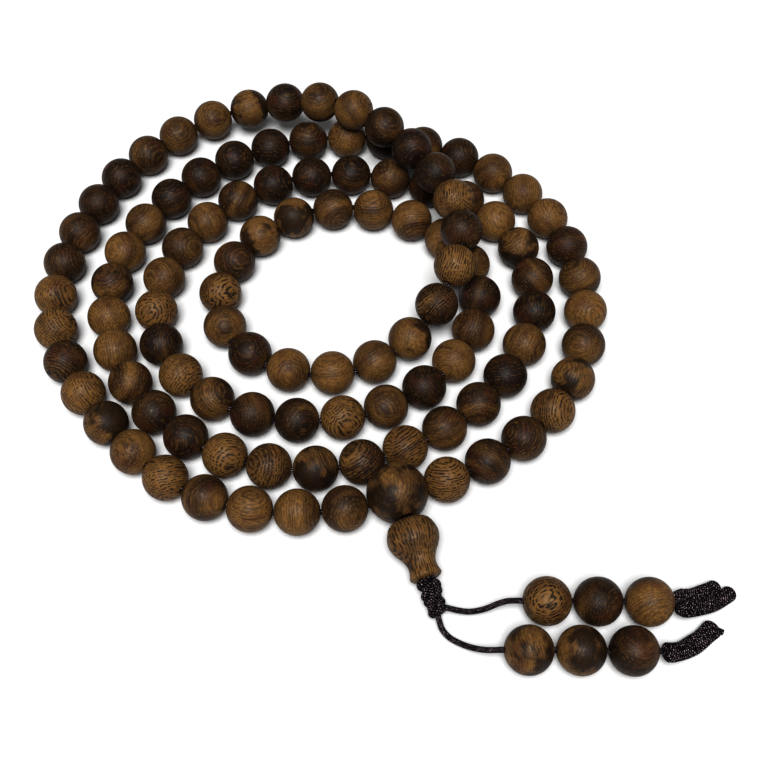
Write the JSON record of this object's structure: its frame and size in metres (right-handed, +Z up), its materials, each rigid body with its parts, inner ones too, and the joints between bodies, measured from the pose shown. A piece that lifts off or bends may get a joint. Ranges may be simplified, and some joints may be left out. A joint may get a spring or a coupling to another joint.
{
  "type": "prayer beads",
  "caption": "Coiled string of round wooden prayer beads on a knotted black cord, with a larger guru bead, a gourd-shaped tower bead and tails of counter beads.",
  "frame": {"origin": "centre of the bounding box at the surface the string lies on", "axes": "+Z up from that surface; +X to the right, along the two rows of counter beads; +Y away from the tails, towards the far side of the coil"},
  "size_m": [0.125, 0.1277, 0.0163],
  "materials": {
    "bead_wood": "satin, close dark grain",
    "guru_wood": "satin, close dark grain",
    "tower_wood": "satin, grain along its length",
    "counter_wood": "satin, close dark grain",
    "cord": "braided cord with a slight sheen",
    "braid": "knotted and braided cord with a slight sheen"
  },
  "bodies": {
    "strand": {"guru_bead": "guru_wood", "strand_cord": "cord", "bead_run_1": "bead_wood", "bead_run_2": "bead_wood", "bead_run_3": "bead_wood", "bead_run_4": "bead_wood", "bead_run_5": "bead_wood", "bead_run_6": "bead_wood", "bead_run_7": "bead_wood", "bead_run_8": "bead_wood", "bead_run_9": "bead_wood"},
    "tail_stem": {"stem_cord": "cord", "knot_sleeve": "braid"},
    "tower": {"tower_bead": "tower_wood"},
    "upper_tail": {"tail_cord_upper": "cord", "end_braid_upper": "braid"},
    "lower_tail": {"tail_cord_lower": "cord", "end_braid_lower": "braid"},
    "counter_upper_1": {"counter_bead_upper_1": "counter_wood"},
    "counter_upper_2": {"counter_bead_upper_2": "counter_wood"},
    "counter_upper_3": {"counter_bead_upper_3": "counter_wood"},
    "counter_lower_1": {"counter_bead_lower_1": "counter_wood"},
    "counter_lower_2": {"counter_bead_lower_2": "counter_wood"},
    "counter_lower_3": {"counter_bead_lower_3": "counter_wood"},
    "loose_001": {"bead_001": "bead_wood"},
    "loose_004": {"bead_004": "bead_wood"},
    "loose_007": {"bead_007": "bead_wood"},
    "loose_010": {"bead_010": "bead_wood"},
    "loose_013": {"bead_013": "bead_wood"},
    "loose_016": {"bead_016": "bead_wood"},
    "loose_019": {"bead_019": "bead_wood"},
    "loose_022": {"bead_022": "bead_wood"},
    "loose_025": {"bead_025": "bead_wood"},
    "loose_028": {"bead_028": "bead_wood"},
    "loose_031": {"bead_031": "bead_wood"},
    "loose_034": {"bead_034": "bead_wood"},
    "loose_037": {"bead_037": "bead_wood"},
    "loose_040": {"bead_040": "bead_wood"},
    "loose_043": {"bead_043": "bead_wood"},
    "loose_046": {"bead_046": "bead_wood"},
    "loose_049": {"bead_049": "bead_wood"},
    "loose_052": {"bead_052": "bead_wood"},
    "loose_055": {"bead_055": "bead_wood"},
    "loose_058": {"bead_058": "bead_wood"},
    "loose_061": {"bead_061": "bead_wood"},
    "loose_064": {"bead_064": "bead_wood"},
    "loose_067": {"bead_067": "bead_wood"},
    "loose_070": {"bead_070": "bead_wood"},
    "loose_073": {"bead_073": "bead_wood"},
    "loose_076": {"bead_076": "bead_wood"},
    "loose_079": {"bead_079": "bead_wood"},
    "loose_082": {"bead_082": "bead_wood"},
    "loose_085": {"bead_085": "bead_wood"},
    "loose_088": {"bead_088": "bead_wood"},
    "loose_091": {"bead_091": "bead_wood"},
    "loose_094": {"bead_094": "bead_wood"},
    "loose_097": {"bead_097": "bead_wood"},
    "loose_100": {"bead_100": "bead_wood"},
    "loose_103": {"bead_103": "bead_wood"},
    "loose_106": {"bead_106": "bead_wood"}
  },
  "joints": [
    {"name": "stem_swing", "type": "hinge", "parent": "strand", "child": "tail_stem", "pos_m": [0.00726, -0.03761, 0.00515], "axis": [0, 0, 1], "range_deg": [-12, 12]},
    {"name": "tower_spin", "type": "hinge", "parent": "tail_stem", "child": "tower", "pos_m": [0.00878, -0.0423, 0.00428], "axis": [0.3041, -0.9367, -0.1736], "continuous": true},
    {"name": "upper_tail_swing", "type": "hinge", "parent": "tail_stem", "child": "upper_tail", "pos_m": [0.013, -0.0521, 0.0024], "axis": [0, 0, 1], "range_deg": [0, 15]},
    {"name": "lower_tail_swing", "type": "hinge", "parent": "tail_stem", "child": "lower_tail", "pos_m": [0.0122, -0.0532, 0.0022], "axis": [0, 0, 1], "range_deg": [-15, 0]},
    {"name": "counter_upper_1_slide", "type": "slide", "parent": "upper_tail", "child": "counter_upper_1", "axis": [1, 0, 0], "range_m": [-0.0025, 0]},
    {"name": "counter_upper_2_spin", "type": "hinge", "parent": "upper_tail", "child": "counter_upper_2", "pos_m": [0.03805, -0.0517, 0.004], "axis": [1, 0, 0], "continuous": true},
    {"name": "counter_upper_3_spin", "type": "hinge", "parent": "upper_tail", "child": "counter_upper_3", "pos_m": [0.0463, -0.0517, 0.004], "axis": [1, 0, 0], "continuous": true},
    {"name": "counter_lower_1_slide", "type": "slide", "parent": "lower_tail", "child": "counter_lower_1", "axis": [1, 0, 0], "range_m": [-0.0015, 0]},
    {"name": "counter_lower_2_spin", "type": "hinge", "parent": "lower_tail", "child": "counter_lower_2", "pos_m": [0.03465, -0.0601, 0.004], "axis": [1, 0, 0], "continuous": true},
    {"name": "counter_lower_3_spin", "type": "hinge", "parent": "lower_tail", "child": "counter_lower_3", "pos_m": [0.0429, -0.0601, 0.004], "axis": [1, 0, 0], "continuous": true},
    {"name": "loose_001_spin", "type": "hinge", "parent": "strand", "child": "loose_001", "pos_m": [0.01416, -0.02923, 0.004], "axis": [0.9158, 0.4016, 0], "continuous": true},
    {"name": "loose_004_spin", "type": "hinge", "parent": "strand", "child": "loose_004", "pos_m": [0.03331, -0.01487, 0.004], "axis": [0.6018, 0.7987, 0], "continuous": true},
    {"name": "loose_007_spin", "type": "hinge", "parent": "strand", "child": "loose_007", "pos_m": [0.04101, 0.00771, 0.004], "axis": [0.0374, 0.9993, 0], "continuous": true},
    {"name": "loose_010_spin", "type": "hinge", "parent": "strand", "child": "loose_010", "pos_m": [0.03545, 0.03096, 0.004], "axis": [-0.4904, 0.8715, 0], "continuous": true},
    {"name": "loose_013_spin", "type": "hinge", "parent": "strand", "child": "loose_013", "pos_m": [0.01839, 0.04768, 0.004], "axis": [-0.8813, 0.4726, 0], "continuous": true},
    {"name": "loose_016_spin", "type": "hinge", "parent": "strand", "child": "loose_016", "pos_m": [-0.00489, 0.05319, 0.004], "axis": [-0.9995, -0.0308, 0], "continuous": true},
    {"name": "loose_019_spin", "type": "hinge", "parent": "strand", "child": "loose_019", "pos_m": [-0.02787, 0.04648, 0.004], "axis": [-0.8504, -0.5261, 0], "continuous": true},
    {"name": "loose_022_spin", "type": "hinge", "parent": "strand", "child": "loose_022", "pos_m": [-0.04411, 0.02889, 0.004], "axis": [-0.4784, -0.8781, 0], "continuous": true},
    {"name": "loose_025_spin", "type": "hinge", "parent": "strand", "child": "loose_025", "pos_m": [-0.04835, 0.00552, 0.004], "axis": [0.1685, -0.9857, 0], "continuous": true},
    {"name": "loose_028_spin", "type": "hinge", "parent": "strand", "child": "loose_028", "pos_m": [-0.03756, -0.01578, 0.004], "axis": [0.6925, -0.7214, 0], "continuous": true},
    {"name": "loose_031_spin", "type": "hinge", "parent": "strand", "child": "loose_031", "pos_m": [-0.01646, -0.02681, 0.004], "axis": [0.9871, -0.16, 0], "continuous": true},
    {"name": "loose_034_spin", "type": "hinge", "parent": "strand", "child": "loose_034", "pos_m": [0.00705, -0.02292, 0.004], "axis": [0.8956, 0.4449, 0], "continuous": true},
    {"name": "loose_037_spin", "type": "hinge", "parent": "strand", "child": "loose_037", "pos_m": [0.02523, -0.00736, 0.004], "axis": [0.5509, 0.8345, 0], "continuous": true},
    {"name": "loose_040_spin", "type": "hinge", "parent": "strand", "child": "loose_040", "pos_m": [0.03151, 0.0155, 0.004], "axis": [-0.137, 0.9906, 0], "continuous": true},
    {"name": "loose_043_spin", "type": "hinge", "parent": "strand", "child": "loose_043", "pos_m": [0.01912, 0.03558, 0.004], "axis": [-0.8213, 0.5705, 0], "continuous": true},
    {"name": "loose_046_spin", "type": "hinge", "parent": "strand", "child": "loose_046", "pos_m": [-0.00376, 0.04257, 0.004], "axis": [-0.9996, 0.028, 0], "continuous": true},
    {"name": "loose_049_spin", "type": "hinge", "parent": "strand", "child": "loose_049", "pos_m": [-0.02631, 0.03523, 0.004], "axis": [-0.766, -0.6429, 0], "continuous": true},
    {"name": "loose_052_spin", "type": "hinge", "parent": "strand", "child": "loose_052", "pos_m": [-0.03899, 0.01506, 0.004], "axis": [-0.2106, -0.9776, 0], "continuous": true},
    {"name": "loose_055_spin", "type": "hinge", "parent": "strand", "child": "loose_055", "pos_m": [-0.03359, -0.00768, 0.004], "axis": [0.6666, -0.7454, 0], "continuous": true},
    {"name": "loose_058_spin", "type": "hinge", "parent": "strand", "child": "loose_058", "pos_m": [-0.01206, -0.01731, 0.004], "axis": [0.9995, -0.0304, 0], "continuous": true},
    {"name": "loose_061_spin", "type": "hinge", "parent": "strand", "child": "loose_061", "pos_m": [0.0105, -0.01002, 0.004], "axis": [0.7712, 0.6366, 0], "continuous": true},
    {"name": "loose_064_spin", "type": "hinge", "parent": "strand", "child": "loose_064", "pos_m": [0.02125, 0.01093, 0.004], "axis": [0.0136, 0.9999, 0], "continuous": true},
    {"name": "loose_067_spin", "type": "hinge", "parent": "strand", "child": "loose_067", "pos_m": [0.0085, 0.03025, 0.004], "axis": [-0.8861, 0.4635, 0], "continuous": true},
    {"name": "loose_070_spin", "type": "hinge", "parent": "strand", "child": "loose_070", "pos_m": [-0.0149, 0.03074, 0.004], "axis": [-0.8963, -0.4435, 0], "continuous": true},
    {"name": "loose_073_spin", "type": "hinge", "parent": "strand", "child": "loose_073", "pos_m": [-0.02793, 0.01141, 0.004], "axis": [-0.0721, -0.9974, 0], "continuous": true},
    {"name": "loose_076_spin", "type": "hinge", "parent": "strand", "child": "loose_076", "pos_m": [-0.01415, -0.00637, 0.004], "axis": [0.9637, -0.267, 0], "continuous": true},
    {"name": "loose_079_spin", "type": "hinge", "parent": "strand", "child": "loose_079", "pos_m": [0.00797, 0.00035, 0.00475], "axis": [0.7193, 0.6692, 0.1867], "continuous": true},
    {"name": "loose_082_spin", "type": "hinge", "parent": "strand", "child": "loose_082", "pos_m": [0.01768, 0.02018, 0.01234], "axis": [-0.0027, 0.9999, -0.0125], "continuous": true},
    {"name": "loose_085_spin", "type": "hinge", "parent": "strand", "child": "loose_085", "pos_m": [0.00838, 0.04208, 0.012], "axis": [-0.6398, 0.7685, -0.0004], "continuous": true},
    {"name": "loose_088_spin", "type": "hinge", "parent": "strand", "child": "loose_088", "pos_m": [-0.01041, 0.05672, 0.01059], "axis": [-0.9039, 0.3435, -0.2548], "continuous": true},
    {"name": "loose_091_spin", "type": "hinge", "parent": "strand", "child": "loose_091", "pos_m": [-0.03321, 0.05769, 0.00453], "axis": [-0.9078, -0.4066, -0.1027], "continuous": true},
    {"name": "loose_094_spin", "type": "hinge", "parent": "strand", "child": "loose_094", "pos_m": [-0.05047, 0.04123, 0.004], "axis": [-0.5124, -0.8588, 0], "continuous": true},
    {"name": "loose_097_spin", "type": "hinge", "parent": "strand", "child": "loose_097", "pos_m": [-0.05863, 0.0186, 0.004], "axis": [-0.1512, -0.9885, 0], "continuous": true},
    {"name": "loose_100_spin", "type": "hinge", "parent": "strand", "child": "loose_100", "pos_m": [-0.05491, -0.00491, 0.004], "axis": [0.4604, -0.8877, 0], "continuous": true},
    {"name": "loose_103_spin", "type": "hinge", "parent": "strand", "child": "loose_103", "pos_m": [-0.0403, -0.02408, 0.004], "axis": [0.7121, -0.7021, 0], "continuous": true},
    {"name": "loose_106_spin", "type": "hinge", "parent": "strand", "child": "loose_106", "pos_m": [-0.01925, -0.03524, 0.004], "axis": [0.9876, -0.1572, 0], "continuous": true}
  ]
}
